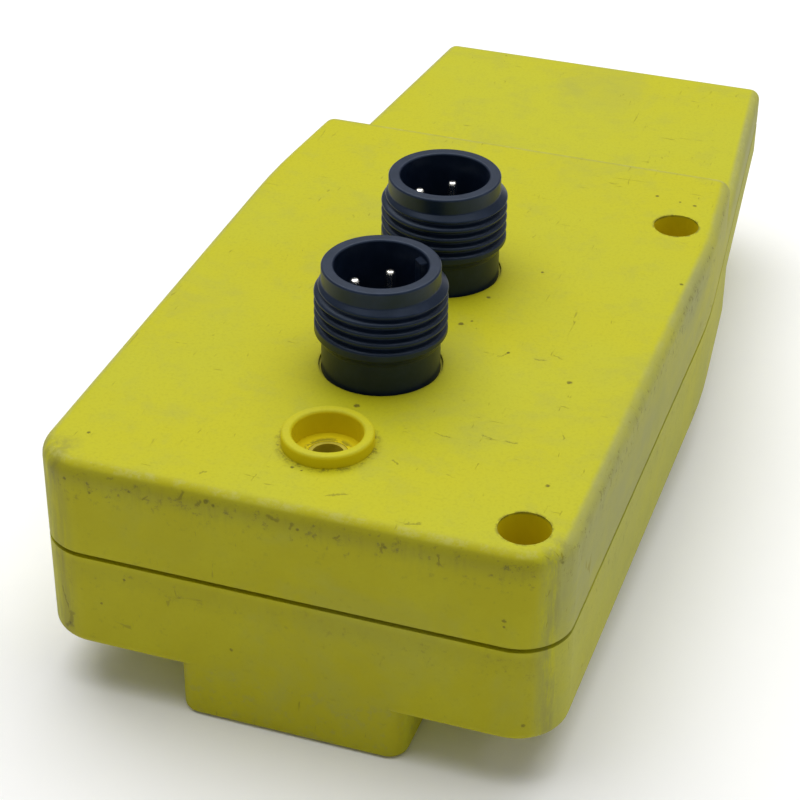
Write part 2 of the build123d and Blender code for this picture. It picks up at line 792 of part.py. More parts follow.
nodes = {
    "rear_cover": make_rear_cover(),
    "front_housing": make_front_housing(),
    "housing_seal": make_housing_seal(),
    "housing_screws": make_housing_screws(),
    "board_screws": make_board_screws(),
    "clamp_screws": make_clamp_screws(),
    "connector_clamp": make_connector_clamp(),
    "main_board": make_main_board(),
    "optics_board": make_optics_board(),
    "adjuster_sleeve": make_adjuster_sleeve(),
    "trimmer_body": make_trimmer_body(),
    "trimmer_rotor": make_trimmer_rotor(),
    "optics_holder": make_optics_holder(),
    "emitter_lens": make_lens(lens_places[0]),
    "receiver_lens": make_lens(lens_places[1]),
    "emitter_polariser": make_polariser(lens_places[0]),
    "receiver_polariser": make_polariser(lens_places[1]),
    "front_window": make_front_window(),
    "window_seal": make_window_seal(),
    "emitter_led": make_emitter_led(),
    "receiver_photodiode": make_receiver_photodiode(),
    "indicator_led": make_indicator_led(),
    "indicator_light_pipe": make_indicator_light_pipe(),
    "controller_chip": make_controller_chip(),
    "power_inductor": make_power_inductor(),
    "output_transistors": make_output_transistors(),
    "capacitors": make_capacitors(),
    "board_header": make_board_header(),
}
for number, (place_y, key_angle) in enumerate(zip(connector_places, key_angles), start=1):
    nodes[f"connector_shell_{number}"] = make_connector_shell(place_y, key_angle)
    nodes[f"contact_insert_{number}"] = make_contact_insert(place_y)
    nodes[f"contact_pins_{number}"] = make_contact_pins(place_y)
    nodes[f"connector_oring_{number}"] = make_connector_oring(place_y)

for name, shape in nodes.items():
    export_step(shape, f"parts/{name}.step")
    print(name, round(shape.volume, 2))
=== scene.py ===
# %% [markdown]
# # A worn yellow photoelectric sensor
#
# This lesson dresses a machine sensor: two moulded shells of safety yellow plastic, two black
# threaded plugs on the rear, and small parts inside, of which a few show through the front window
# and the ring's centre hole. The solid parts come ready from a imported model, so the lesson is about
# finishes, about one shape that the solids leave out, the screw thread, and about light that shows
# satin plastic well.

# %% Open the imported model
import math

import bpy
import numpy as np
from mathutils import Matrix, Vector


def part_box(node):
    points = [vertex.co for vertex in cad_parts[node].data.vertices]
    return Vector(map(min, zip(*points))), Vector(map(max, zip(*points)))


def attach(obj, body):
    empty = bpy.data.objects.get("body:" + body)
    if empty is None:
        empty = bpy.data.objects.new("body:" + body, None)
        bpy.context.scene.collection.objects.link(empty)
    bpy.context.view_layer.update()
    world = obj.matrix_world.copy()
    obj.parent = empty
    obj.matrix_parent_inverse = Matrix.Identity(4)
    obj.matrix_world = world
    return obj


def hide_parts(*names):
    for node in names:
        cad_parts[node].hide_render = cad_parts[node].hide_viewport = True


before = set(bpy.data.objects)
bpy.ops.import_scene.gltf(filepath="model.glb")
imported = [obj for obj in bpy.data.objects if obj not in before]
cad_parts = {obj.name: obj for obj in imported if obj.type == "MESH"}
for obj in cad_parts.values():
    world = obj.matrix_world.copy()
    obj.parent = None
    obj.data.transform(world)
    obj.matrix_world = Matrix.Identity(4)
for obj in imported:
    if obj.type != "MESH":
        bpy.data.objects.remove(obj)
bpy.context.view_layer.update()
MM = 0.001
print("packed nodes:", len(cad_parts))

# %% [markdown]
# ## Shader maths as Python expressions
#
# A finish is a small formula: a mask made of noise, multiplied by another mask, mixed into a
# colour. Dragging wires for that is slow, and so is naming every Math node. So one class wraps an
# output socket and answers to +, -, * and /, and each use of an operator adds its Math node. A
# second class holds the material under construction and makes every other kind of node.

# %% A socket that can be calculated with
class Wire:
    """One output socket of a node. Arithmetic on it adds Math nodes to its material."""

    def __init__(self, finish, socket):
        self.finish = finish
        self.socket = socket

    def math(self, operation, *values):
        """One Math node on these values."""
        return self.finish.add("ShaderNodeMath", {"operation": operation}, dict(enumerate(values)))

    def __add__(self, other):
        return self.math("ADD", self, other)

    __radd__ = __add__

    def __sub__(self, other):
        return self.math("SUBTRACT", self, other)

    def __rsub__(self, other):
        return self.math("SUBTRACT", other, self)

    def __mul__(self, other):
        return self.math("MULTIPLY", self, other)

    __rmul__ = __mul__

    def __truediv__(self, other):
        return self.math("DIVIDE", self, other)


# %% A material under construction
class Finish:
    """A material under construction, with a Principled shader at its end."""

    def __init__(self, name):
        self.material = bpy.data.materials.new(name)
        self.material.use_nodes = True
        self.tree = self.material.node_tree
        self.tree.nodes.clear()
        output = self.tree.nodes.new("ShaderNodeOutputMaterial")
        self.shader = self.tree.nodes.new("ShaderNodeBsdfPrincipled")
        self.tree.links.new(self.shader.outputs["BSDF"], output.inputs["Surface"])
        self.place = self.add("ShaderNodeTexCoord", {}, {}, "Object")

    def add(self, kind, settings, inputs, output=0):
        """A node of this kind: its settings first, then its inputs, as values or wires."""
        node = self.tree.nodes.new(kind)
        for name, value in settings.items():
            setattr(node, name, value)
        for name, value in inputs.items():
            self.plug(node.inputs[name], value)
        return Wire(self, node.outputs[output])

    def plug(self, socket, value):
        """Links a wire to a socket, or sets the socket's own value."""
        if isinstance(value, Wire):
            self.tree.links.new(value.socket, socket)
        else:
            socket.default_value = value

    def axes(self):
        """The x, y and z of the place on the piece, in metres."""
        node = self.add("ShaderNodeSeparateXYZ", {}, {"Vector": self.place}).socket.node
        return [Wire(self, socket) for socket in node.outputs]

    def stretched(self, scale, turn=0):
        """The place on the piece, turned about the vertical and stretched."""
        return self.add("ShaderNodeMapping", {"vector_type": "POINT"}, {
            "Vector": self.place, "Rotation": (0, 0, turn), "Scale": scale})

    def noise(self, size, detail=3.0, roughness=0.55, where=None, distortion=0.0):
        """Cloudy noise from 0 to 1 whose blotches are about this many millimetres across."""
        return self.add("ShaderNodeTexNoise", {}, {
            "Vector": where or self.place, "Scale": 1 / (size * MM), "Detail": detail,
            "Roughness": roughness, "Distortion": distortion})

    def ramp(self, value, low, high):
        """0 below low and 1 above high, with a smooth rise between, or a fall if low is larger."""
        return self.add("ShaderNodeMapRange", {"interpolation_type": "SMOOTHSTEP"}, {
            "Value": value, "From Min": low, "From Max": high, "To Min": 0.0, "To Max": 1.0})

    def blend(self, mask, first, second):
        """The first colour where the mask is 0 and the second where it is 1."""
        colours = [c if isinstance(c, Wire) else (*c, 1.0) for c in (first, second)]
        return self.add("ShaderNodeMix", {"data_type": "RGBA"},
                        {0: mask, 6: colours[0], 7: colours[1]}, 2)

    def specks(self, pitch, radius, share):
        """Round specks: cells of this pitch in millimetres, of which this share holds a speck."""
        cells = self.add("ShaderNodeTexVoronoi", {}, {
            "Vector": self.place, "Scale": 1 / (pitch * MM)}).socket.node
        distance = Wire(self, cells.outputs["Distance"])
        chance = self.add("ShaderNodeSeparateColor", {}, {"Color": Wire(self, cells.outputs["Color"])})
        chosen = self.ramp(chance, share, share - 0.02)
        size = radius / pitch
        return self.ramp(distance, size, 0.6 * size) * chosen

    def bumps(self, height, depth):
        """A surface normal that rises by depth millimetres where the height is 1."""
        return self.add("ShaderNodeBump", {}, {
            "Height": height, "Distance": depth * MM, "Strength": 1.0})

    def surface(self, **sockets):
        """Sets the shader's sockets, whose names are written with underscores."""
        for name, value in sockets.items():
            socket = self.shader.inputs[name.replace("_", " ")]
            if name.endswith("Color") and not isinstance(value, Wire):
                value = (*value, 1.0)
            self.plug(socket, value)
        return self.material


# %% [markdown]
# ## Where things are
#
# A trace of wear has its place on the real object: along an edge, round a hole, beside the step. The
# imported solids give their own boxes, so most places come from there. What a box can't tell, such as
# where the long walls start to close in, is the real housing's length in millimetres.

# %% Lengths of the housing, in millimetres
ring_height, ring_along = 1.2, 10.4
ring_radius, ring_bore = 4.1, 3.15
centre_hole_radius = 2.0
taper_along, taper_degrees = 57.0, 5.5
step_along, step_drop = 69.9, 5.4
mount_inset, mounts_along, mount_radius = 4.45, (4.15, 58.25), 2.25
plug_hole_radius = 5.45
front_face = 5.15
print("mounting holes", mounts_along[1] - mounts_along[0], "mm apart")

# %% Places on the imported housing, in metres
cover_low, cover_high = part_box("rear_cover")
top_level = cover_high.z - ring_height * MM
tail_level = top_level - step_drop * MM
seam_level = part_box("housing_seal")[1].z
half_width = cover_high.x
near_end, far_end = cover_low.y, cover_high.y
taper_start = near_end + taper_along * MM
step_place = near_end + step_along * MM
ring_place = (0.0, near_end + ring_along * MM)
mount_places = [(half_width - mount_inset * MM, near_end + along * MM) for along in mounts_along]
plug_places = [(0.0, (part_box(node)[0].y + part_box(node)[1].y) / 2)
               for node in ("connector_shell_1", "connector_shell_2")]
print("top face at", round(top_level / MM, 2), "mm, seam at", round(seam_level / MM, 2), "mm")

# %% [markdown]
# ## Masks: where on the housing a place is
#
# A mask is a number from 0 to 1 at each place of the surface. The wear could be painted by hand onto an
# image, but an image needs unwrapping and blurs near the camera. A mask worked out from the place
# itself stays sharp, and it moves with the part when a length changes.

# %% Masks for walls, edges and circles
def larger(f, first, second):
    """The larger of two values."""
    return f.add("ShaderNodeMath", {"operation": "MAXIMUM"}, {0: first, 1: second})


def side_distance(f, outward, y):
    """How far inside a long wall's plane a place lies, in metres, also beside the taper.

    It is half the width, less the place's distance from the middle towards that wall, outward,
    and less how far the wall has closed in: the way past the bend times the taper's tangent."""
    past_bend = larger(f, y - taper_start, 0.0)
    return half_width - outward - past_bend * math.tan(math.radians(taper_degrees))


def from_axis(f, x, y, place):
    """How far a place lies from the vertical line through this (x, y), in metres."""
    across, along = x - place[0], y - place[1]
    return f.add("ShaderNodeMath", {"operation": "POWER"},
                 {0: across * across + along * along, 1: 0.5})


def ring_around(f, x, y, place, radius, inner, outer):
    """1 at a circle of this radius in millimetres, falling to 0 inner and outer millimetres off."""
    off = from_axis(f, x, y, place) - radius * MM
    return f.ramp(off, -inner * MM, 0.0) * f.ramp(off, outer * MM, 0.0)


def just_below(f, z, level):
    """1 from a quarter to a tenth of a millimetre below a level: the rounding of an upper edge."""
    return f.ramp(z, level - 0.55 * MM, level - 0.25 * MM) * f.ramp(
        z, level - 0.01 * MM, level - 0.10 * MM)


def near_the_near_end(f, y):
    """1 within about two millimetres of the near end, where the most hands have been, to 0 at five."""
    return f.ramp(y, near_end + 5.2 * MM, near_end + 2.2 * MM)


# %% Marks at chosen places
def dashes(f, first, second, marks):
    """Short thin strokes on a flat face, each as (place, place, length, width, turn).

    Turned into the stroke's own axes, a place is on it where both its squares are small enough."""
    wobble = (f.noise(0.7, detail=3, roughness=0.7) - 0.5) * 0.9
    total = 0.0
    for mark_x, mark_y, length, width, turn in marks:
        angle = math.radians(turn)
        across, along = first / MM - mark_x, second / MM - mark_y
        u = across * math.cos(angle) + along * math.sin(angle)
        v = along * math.cos(angle) - across * math.sin(angle) + wobble
        ends = f.ramp(u * u, (length / 2) ** 2, (length / 3) ** 2)
        total = ends * f.ramp(v * v, width ** 2, (0.3 * width) ** 2) + total
    return total


def spots(f, first, second, places):
    """Ragged specks on a flat face, each as (place, place, radius) in millimetres.

    A place is on a speck where its squared distance, pushed in and out by noise, is small."""
    ragged = (f.noise(0.22, detail=4, roughness=0.8) - 0.5) * 1.1
    total = 0.0
    for spot_x, spot_y, radius in places:
        across, along = first / MM - spot_x, second / MM - spot_y
        total = f.ramp(across * across + along * along + ragged * radius ** 1.5, radius ** 2,
                       (0.3 * radius) ** 2) + total
    return total


# %% [markdown]
# ## Safety yellow plastic, used for years
#
# The real shells are moulded in a greenish yellow with a satin skin. Years of handling left dust in
# the skin, grey rubs along the outer edges, pits with dirt in them and a few hair scratches. Each
# trace is one mask, and the masks are laid over each other: plastic, dust with painted shade on the
# near wall, rubs with painted shade and grime below the near edge, grime, pits and scratches. Over
# them lie a painted glow in the ring boss and the holes, dirt at their rims and painted shade at the
# plugs' feet, and last come the larger marks.

# %% What all the wear on a shell reads
class ShellPlace:
    """A place on a shell: its x, y and z, the walls it is on, and the noises that wear shares."""

    def __init__(self, f, upper_edge, lower_edge):
        self.f = f
        self.upper_edge, self.lower_edge = upper_edge, lower_edge
        self.x, self.y, self.z = f.axes()
        self.side = side_distance(f, self.x, self.y)
        self.right_wall = f.ramp(self.side, 1.2 * MM, 0.6 * MM)
        self.near_wall = f.ramp(self.y, near_end + 1.3 * MM, near_end + 0.5 * MM)
        self.left_wall = f.ramp(side_distance(f, self.x * -1.0, self.y), 1.2 * MM, 0.6 * MM)
        self.far_wall = f.ramp(self.y, far_end - 1.3 * MM, far_end - 0.5 * MM)
        self.flat_top = f.ramp(self.z, top_level - 0.3 * MM, top_level - 0.05 * MM)
        self.clouds = f.noise(24, detail=4, roughness=0.6)
        self.mottle = f.noise(3.4, detail=6, roughness=0.7)
        self.grain = f.noise(0.30, detail=3, roughness=0.6)
        self.streaks = f.noise(1.2, detail=5, roughness=0.75, where=f.stretched((1, 1, 0.14)))
        self.blots = f.noise(0.8, detail=6, roughness=0.8)


# %% Plastic, the dust on it, and painted shade on the near wall
def plastic_colour(s):
    """Fresh yellow, faded by wide clouds, dusty where the mottle is high, darker in the grain."""
    f = s.f
    fresh, faded, dusty = (0.505, 0.480, 0.008), (0.490, 0.482, 0.016), (0.420, 0.415, 0.040)
    colour = f.blend(f.ramp(s.clouds, 0.38, 0.66), fresh, faded)
    colour = f.blend(f.ramp(s.mottle, 0.47, 0.72) * 0.45, colour, dusty)
    return f.blend(f.ramp(s.grain, 0.45, 0.75) * 0.16, colour, (0.25, 0.23, 0.004))


def add_dust_and_near_shade(s, colour, film_share):
    """Painted shade on the near wall, darker and a deeper yellow, and a film of dust on the other
    walls, grey on the long ones, with dirt in the near corners and a haze.
    """
    f = s.f
    film = f.ramp(f.noise(9, detail=5, roughness=0.7, where=f.stretched((1, 0.5, 1))), 0.30, 0.62)
    # Painted shade: the near wall is made darker and a deeper yellow, varied a little by the film
    # noise.
    colour = f.blend(s.near_wall * (film * 0.3 + 0.5), colour, (0.41, 0.372, 0.002))
    dusty_wall = larger(f, s.right_wall, larger(f, s.left_wall, s.far_wall) * 0.6)
    dust_depth = film * 0.38 + f.ramp(s.clouds, 0.42, 0.60) * 0.20 + 0.28
    colour = f.blend(dusty_wall * dust_depth * film_share, colour, (0.33, 0.33, 0.120))

    right_corner = f.ramp(s.side, 2.8 * MM, 1.2 * MM) * f.ramp(s.side, 0.2 * MM, 1.0 * MM) * f.ramp(
        s.y, near_end + 5.0 * MM, near_end + 2.4 * MM)
    colour = f.blend(right_corner * f.ramp(s.streaks, 0.36, 0.62) * 0.55, colour, (0.22, 0.21, 0.09))
    left_corner = f.ramp(s.x, -half_width + 4.6 * MM, -half_width + 2.6 * MM) * near_the_near_end(
        f, s.y)
    colour = f.blend(left_corner * f.ramp(s.streaks, 0.32, 0.64) * 0.6, colour, (0.24, 0.225, 0.045))
    haze = f.ramp(f.noise(14, detail=5, roughness=0.65, distortion=0.4), 0.50, 0.74)
    return f.blend(haze * 0.4, colour, (0.345, 0.35, 0.065))


# %% Rubs along the edges
def add_rubs(s, colour, rub_share, grime_and_shade_share):
    """Pale rubs on the upper edges, most at the near end, and a band of painted shade and grime below
    the near one.

    Gives the colour and the mask of the upper rubs, which are rougher too."""
    f = s.f
    rub_noise = f.noise(1.5, detail=7, roughness=0.8)
    upper_rub = just_below(f, s.z, s.upper_edge) * f.ramp(rub_noise, 0.44, 0.64) * (
        near_the_near_end(f, s.y) * 0.35 + 0.3)
    on_tail = f.ramp(s.y, step_place + 0.2 * MM, step_place + 0.6 * MM)
    tail_high = on_tail * just_below(f, s.z, tail_level)
    step_high = f.ramp(s.y, step_place - 0.95 * MM, step_place - 0.5 * MM) * f.ramp(
        s.y, step_place, step_place - 0.15 * MM) * f.ramp(
            s.z, top_level - 0.6 * MM, top_level - 0.3 * MM)
    upper_rub = (tail_high + step_high) * f.ramp(rub_noise, 0.44, 0.62) * 0.5 + upper_rub

    # Painted shade, with some grime: a darker band on the near wall just below the upper edge makes the
    # rounded edge look sharper.
    shade_below_edge = s.near_wall * f.ramp(
        s.z, s.upper_edge - 0.30 * MM, s.upper_edge - 0.60 * MM) * f.ramp(
            s.z, s.upper_edge - 3.2 * MM, s.upper_edge - 1.1 * MM)
    colour = f.blend(shade_below_edge * 0.4 * grime_and_shade_share, colour, (0.22, 0.205, 0.02))
    colour = f.blend(step_high * 0.35, colour, (0.25, 0.25, 0.09))
    colour = f.blend(upper_rub * rub_share, colour, (0.51, 0.50, 0.14))
    lower_rub = f.ramp(s.z, s.lower_edge + 1.0 * MM, s.lower_edge + 0.1 * MM) * f.ramp(
        rub_noise, 0.50, 0.64)
    return f.blend(lower_rub * 0.35, colour, (0.30, 0.29, 0.08)), upper_rub


# %% Grime, pits and scratches
def add_grime(s, colour, grime_and_shade_share):
    """Dark streaks and blots in a band under the upper edge, and fainter blots on the whole wall."""
    f = s.f
    walls = larger(f, larger(f, s.right_wall, s.near_wall), larger(f, s.left_wall, s.far_wall) * 0.8)
    band = f.ramp(s.z, s.upper_edge - 4.4 * MM, s.upper_edge - 1.7 * MM) * f.ramp(
        s.z, s.upper_edge - 0.45 * MM, s.upper_edge - 0.9 * MM)
    grime = walls * band * (f.ramp(s.streaks, 0.48, 0.70) * 0.18
                            + f.ramp(s.blots, 0.53, 0.68) * 0.80)
    colour = f.blend(grime * grime_and_shade_share, colour, (0.13, 0.12, 0.03))
    return f.blend(walls * f.ramp(s.blots, 0.57, 0.69) * 0.30, colour, (0.22, 0.20, 0.015))


def add_scratches(s, colour):
    """Pits in two sizes, and hairs: the thin crests of noise stretched three ways, in patches.

    Gives the colour and the masks of the pits and of the hairs, which are dents too."""
    f = s.f
    pits = f.specks(6.5, 0.22, 0.05) + f.specks(2.6, 0.10, 0.07) * 0.7
    colour = f.blend(pits, colour, (0.12, 0.10, 0.01))
    patchy = f.ramp(f.noise(5, detail=3, roughness=0.7), 0.48, 0.60)
    hairs = 0.0
    for scale, turn in (((1.0, 0.12, 0.2), 0.9), ((0.12, 1.0, 0.2), -0.25), ((1.0, 0.2, 0.2), -0.8)):
        fine = f.noise(0.5, detail=2, where=f.stretched(scale, turn=turn), distortion=1.0)
        hairs = f.ramp(fine, 0.70, 0.74) + hairs
    off_ring = f.ramp(from_axis(f, s.x, s.y, ring_place), (ring_radius - 0.1) * MM,
                      (ring_radius + 0.3) * MM)
    hairs = hairs * patchy * off_ring
    return f.blend(hairs * 0.6, colour, (0.27, 0.24, 0.012)), pits, hairs


# %% Painted glow in the ring boss and the holes, dirt round them, painted shade at the plugs
def add_glow_and_rims(s, colour):
    """Painted glow, a deep amber for light through the plastic, on the ring boss's wall and in the
    holes, with dirt at each rim and foot and painted shade round each plug's foot.
    """
    f = s.f
    from_ring = from_axis(f, s.x, s.y, ring_place)
    boss_glow = f.ramp(from_ring, (ring_radius + 0.3) * MM, ring_radius * MM) * f.ramp(
        s.z, top_level - 0.05 * MM, top_level + 0.1 * MM)
    boss_rim = f.ramp(s.z, top_level + 0.95 * MM, top_level + 1.18 * MM)
    near_rear = f.ramp(s.z, top_level - 1.8 * MM, top_level - 1.5 * MM)
    hole_glow = f.ramp(from_ring, (ring_bore + 0.15) * MM, ring_bore * MM) * near_rear
    for place in mount_places:
        inside = f.ramp(from_axis(f, s.x, s.y, place), (mount_radius + 0.15) * MM,
                        (mount_radius + 0.03) * MM)
        hole_glow = inside * f.ramp(s.z, top_level - 0.02 * MM, top_level - 0.3 * MM) + hole_glow
    # Painted glow: the ring boss's wall and the walls of the holes get a brighter, deeper amber,
    # standing in for light shining through the plastic.
    colour = f.blend(larger(f, hole_glow, boss_glow) * (1 - boss_rim * 0.8), colour, (0.70, 0.58, 0.003))

    foot = f.ramp(s.z, top_level + 0.14 * MM, top_level + 0.04 * MM) * s.flat_top
    dirt_and_plug_shade = (ring_around(f, s.x, s.y, ring_place, ring_radius, 0.15, 0.8)
            * f.ramp(s.blots, 0.47, 0.58) * foot
            + ring_around(f, s.x, s.y, ring_place, centre_hole_radius, 0.3, 0.5)
            * f.ramp(s.blots, 0.42, 0.50))
    for place in mount_places:
        rim = ring_around(f, s.x, s.y, place, mount_radius, 0.02, 0.30)
        dirt_and_plug_shade = rim * f.ramp(s.blots, 0.46, 0.56) * s.flat_top + dirt_and_plug_shade
    for place in plug_places:
        # Painted shade: an even darker ring round each plug's foot, where it meets the cover.
        dirt_and_plug_shade = ring_around(f, s.x, s.y, place, plug_hole_radius, 0.05, 0.5) * 0.6 + dirt_and_plug_shade
    return f.blend(dirt_and_plug_shade * near_rear * 0.8, colour, (0.20, 0.175, 0.012))


# %% The whole finish of a shell
def housing_finish(name, upper_edge, lower_edge, shares, marks):
    """Satin yellow plastic with its wear laid over it, and dents where the wear is deep.

    The shares say how strong the rubs, the grime with the painted shade under the near edge, and the
    film are on this shell."""
    f = Finish(name)
    s = ShellPlace(f, upper_edge, lower_edge)
    colour = add_dust_and_near_shade(s, plastic_colour(s), shares["film"])
    colour, upper_rub = add_rubs(s, colour, shares["rub"], shares["grime"])
    colour = add_grime(s, colour, shares["grime"])
    colour, pits, hairs = add_scratches(s, colour)
    colour = add_glow_and_rims(s, colour)
    strokes = (dashes(f, s.x, s.y, marks["top_dashes"]) * s.flat_top * 0.55
               + spots(f, s.x, s.y, marks["top_spots"]) * s.flat_top
               + spots(f, s.x, s.z, marks["near_spots"]) * s.near_wall * 0.8
               + dashes(f, s.x, s.z, marks["near_dashes"]) * s.near_wall * 0.6)
    colour = f.blend(strokes * 0.8, colour, (0.11, 0.09, 0.012))
    height = s.grain * 0.30 + s.mottle * 0.30 - pits * 1.2 - hairs * 0.6 - strokes * 0.8
    gloss = 0.50 + s.mottle * 0.14 + upper_rub * 0.15 + s.right_wall * 0.08
    return f.surface(Base_Color=colour, Roughness=gloss, Normal=f.bumps(height, 0.035),
                     Specular_IOR_Level=0.18)


# %% [markdown]
# ## The larger marks
#
# Noise gives fine wear everywhere, but a viewer knows this very sensor by its larger scratches. So
# each of those is one line in a list: where it is in millimetres, how long and wide, and its turn.

# %% Marks on the rear shell: on top as (x, y), on the near wall as (x, z)
rear_marks = {
    "top_dashes": [(3.4, -48.9, 2.2, 0.13, 28), (10.6, -50.6, 1.6, 0.12, 20),
                   (14.8, -36.6, 1.3, 0.14, 5), (12.6, -36.6, 1.2, 0.09, -15),
                   (8.9, -37.6, 1.8, 0.09, -8), (6.4, -42.8, 1.0, 0.10, -50),
                   (10.1, -23.3, 1.5, 0.12, 50), (13.5, -23.0, 1.4, 0.10, 10),
                   (14.9, -22.0, 1.2, 0.09, -20), (18.8, -34.4, 0.9, 0.09, -70),
                   (-8.3, -49.6, 0.8, 0.14, 35)],
    "top_spots": [(9.3, -7.6, 0.20), (5.8, -13.9, 0.26), (4.8, -19.4, 0.32), (5.6, -18.6, 0.18),
                  (17.0, -25.8, 0.30), (19.5, -41.8, 0.24), (22.5, -5.3, 0.22), (-1.5, -46.4, 0.22),
                  (0.4, -35.7, 0.36), (16.1, 11.5, 0.24), (20.2, 10.7, 0.24), (18.6, 11.0, 0.16),
                  (-19.9, -47.4, 0.20), (10.4, -22.8, 0.20), (-0.6, -46.6, 0.14)],
    "near_spots": [(-17.7, 22.0, 0.17), (-7.0, 23.6, 0.24), (-6.3, 23.4, 0.18), (1.2, 22.8, 0.18),
                   (8.8, 22.9, 0.20), (19.1, 18.0, 0.24), (19.1, 17.4, 0.16), (-14.0, 23.0, 0.16),
                   (-20.0, 22.9, 0.2)],
    "near_dashes": [(-9.3, 23.6, 1.0, 0.20, 75), (-7.6, 23.3, 0.8, 0.16, 60),
                    (-1.0, 23.4, 1.4, 0.22, -15), (0.6, 23.0, 0.9, 0.16, 70),
                    (8.6, 22.8, 1.1, 0.14, 85), (4.6, 22.9, 0.9, 0.12, 30),
                    (-12.5, 22.7, 0.9, 0.10, 55), (13.4, 22.8, 1.2, 0.13, 80)],
}
print("rear shell has", sum(len(marks) for marks in rear_marks.values()), "placed marks")

# %% Marks on the front shell, and both finishes
front_marks = {
    "top_dashes": [], "top_spots": [],
    "near_spots": [(-5.2, 8.3, 0.22), (-15.0, 13.4, 0.16), (21.0, 7.0, 0.22), (-17.4, 10.2, 0.18)],
    "near_dashes": [(-21.2, 9.6, 2.6, 0.16, 106), (-20.6, 7.4, 2.2, 0.30, 84),
                    (-21.1, 6.6, 1.2, 0.20, 50)],
}
# The grime share also sets the painted shade under the near upper edge.
shell_finishes = {
    "rear_cover": housing_finish("yellow_rear_shell", top_level, seam_level,
                                 {"rub": 0.8, "grime": 1.0, "film": 1.0}, rear_marks),
    "front_housing": housing_finish("yellow_front_shell", seam_level, front_face * MM,
                                    {"rub": 0.12, "grime": 0.35, "film": 0.5}, front_marks),
}
print("shell finishes:", ", ".join(shell_finishes))

# %% [markdown]
# ## Finishes for the small parts
#
# A part inside the housing is seldom seen, yet each needs a finish that isn't one flat colour. One
# function serves the moulded parts, one the metal parts, one the clear parts and one the boards.

# %% Moulded plastic and rubber
def moulded_finish(name, colour, shade, roughness, coat=0.0):
    """Plastic with a fine grain that varies a little between two colours."""
    f = Finish(name)
    clouds = f.noise(2.5, detail=4, roughness=0.6)
    grain = f.noise(0.2, detail=2)
    tint = f.blend(f.ramp(clouds, 0.35, 0.7), colour, shade)
    return f.surface(Base_Color=tint, Roughness=roughness + clouds * 0.12,
                     Coat_Weight=coat, Coat_Roughness=0.2,
                     Normal=f.bumps(grain * 0.5 + clouds * 0.5, 0.012))


# %% Plated and rolled metal
def metal_finish(name, colour, shade, roughness):
    """Metal with cloudy tarnish and fine drawn lines."""
    f = Finish(name)
    tarnish = f.noise(1.1, detail=5, roughness=0.65)
    lines = f.noise(0.25, detail=2, where=f.stretched((1.0, 1.0, 0.08)))
    tint = f.blend(f.ramp(tarnish, 0.45, 0.72), colour, shade)
    return f.surface(Base_Color=tint, Metallic=1.0, Roughness=roughness + tarnish * 0.18,
                     Normal=f.bumps(lines, 0.006))


# %% Clear moulded plastic
def clear_finish(name, colour, alpha, roughness):
    """Clear plastic shown by thin alpha, with faint handling marks in its gloss."""
    f = Finish(name)
    smears = f.noise(3.5, detail=5, roughness=0.7)
    tint = f.blend(smears, colour, tuple(0.93 * part for part in colour))
    dust = f.ramp(smears, 0.55, 0.8) * 0.06
    return f.surface(Base_Color=tint, Roughness=roughness + smears * 0.08, Alpha=dust + alpha,
                     Coat_Weight=0.6, Coat_Roughness=0.05)


# %% Circuit board laminate
def board_finish(name):
    """Green lacquer over darker and lighter areas of copper."""
    f = Finish(name)
    copper = f.noise(2.0, detail=1, where=f.stretched((1.0, 0.25, 1.0)))
    pours = f.ramp(copper, 0.47, 0.52)
    weave = f.noise(0.4, detail=2)
    tint = f.blend(pours, (0.012, 0.07, 0.03), (0.03, 0.14, 0.05))
    return f.surface(Base_Color=tint, Roughness=0.3 + weave * 0.15,
                     Normal=f.bumps(pours * 0.6 + weave * 0.4, 0.02))


# %% Give every solid its finish
rubber = moulded_finish("seal_rubber", (0.02, 0.02, 0.02), (0.035, 0.035, 0.033), 0.65)
seam_rubber = moulded_finish("seam_rubber", (0.42, 0.36, 0.02), (0.24, 0.19, 0.01), 0.6)
steel = metal_finish("zinc_steel", (0.62, 0.62, 0.60), (0.40, 0.39, 0.36), 0.28)
clamp_steel = metal_finish("rolled_steel", (0.58, 0.58, 0.56), (0.44, 0.43, 0.41), 0.35)
carrier_black = moulded_finish("carrier_black", (0.010, 0.010, 0.011), (0.022, 0.022, 0.024), 0.5)
pin_metal = metal_finish("bright_pins", (0.88, 0.86, 0.80), (0.70, 0.66, 0.56), 0.12)
part_black = moulded_finish("component_black", (0.018, 0.018, 0.02), (0.04, 0.04, 0.04), 0.45)
holder_black = moulded_finish("holder_black", (0.008, 0.008, 0.008), (0.02, 0.02, 0.02), 0.7)
sleeve_yellow = moulded_finish("sleeve_yellow", (0.52, 0.45, 0.035), (0.36, 0.30, 0.01), 0.4)
trimmer_olive = moulded_finish("trimmer_olive", (0.45, 0.36, 0.01), (0.34, 0.27, 0.01), 0.45)
rotor_brass = metal_finish("rotor_brass", (0.42, 0.34, 0.12), (0.27, 0.22, 0.09), 0.4)
can_metal = metal_finish("capacitor_can", (0.75, 0.75, 0.75), (0.55, 0.55, 0.56), 0.3)
lens_clear = clear_finish("lens_clear", (0.85, 0.90, 0.92), 0.30, 0.04)
window_clear = clear_finish("window_clear", (0.75, 0.80, 0.84), 0.22, 0.05)
film_grey = clear_finish("polariser_grey", (0.20, 0.20, 0.24), 0.55, 0.15)
led_epoxy = moulded_finish("led_epoxy", (0.75, 0.60, 0.50), (0.60, 0.45, 0.38), 0.15, coat=0.6)
dark_epoxy = moulded_finish("dark_epoxy", (0.03, 0.015, 0.03), (0.05, 0.03, 0.05), 0.15, coat=0.6)
green_board = board_finish("green_board")

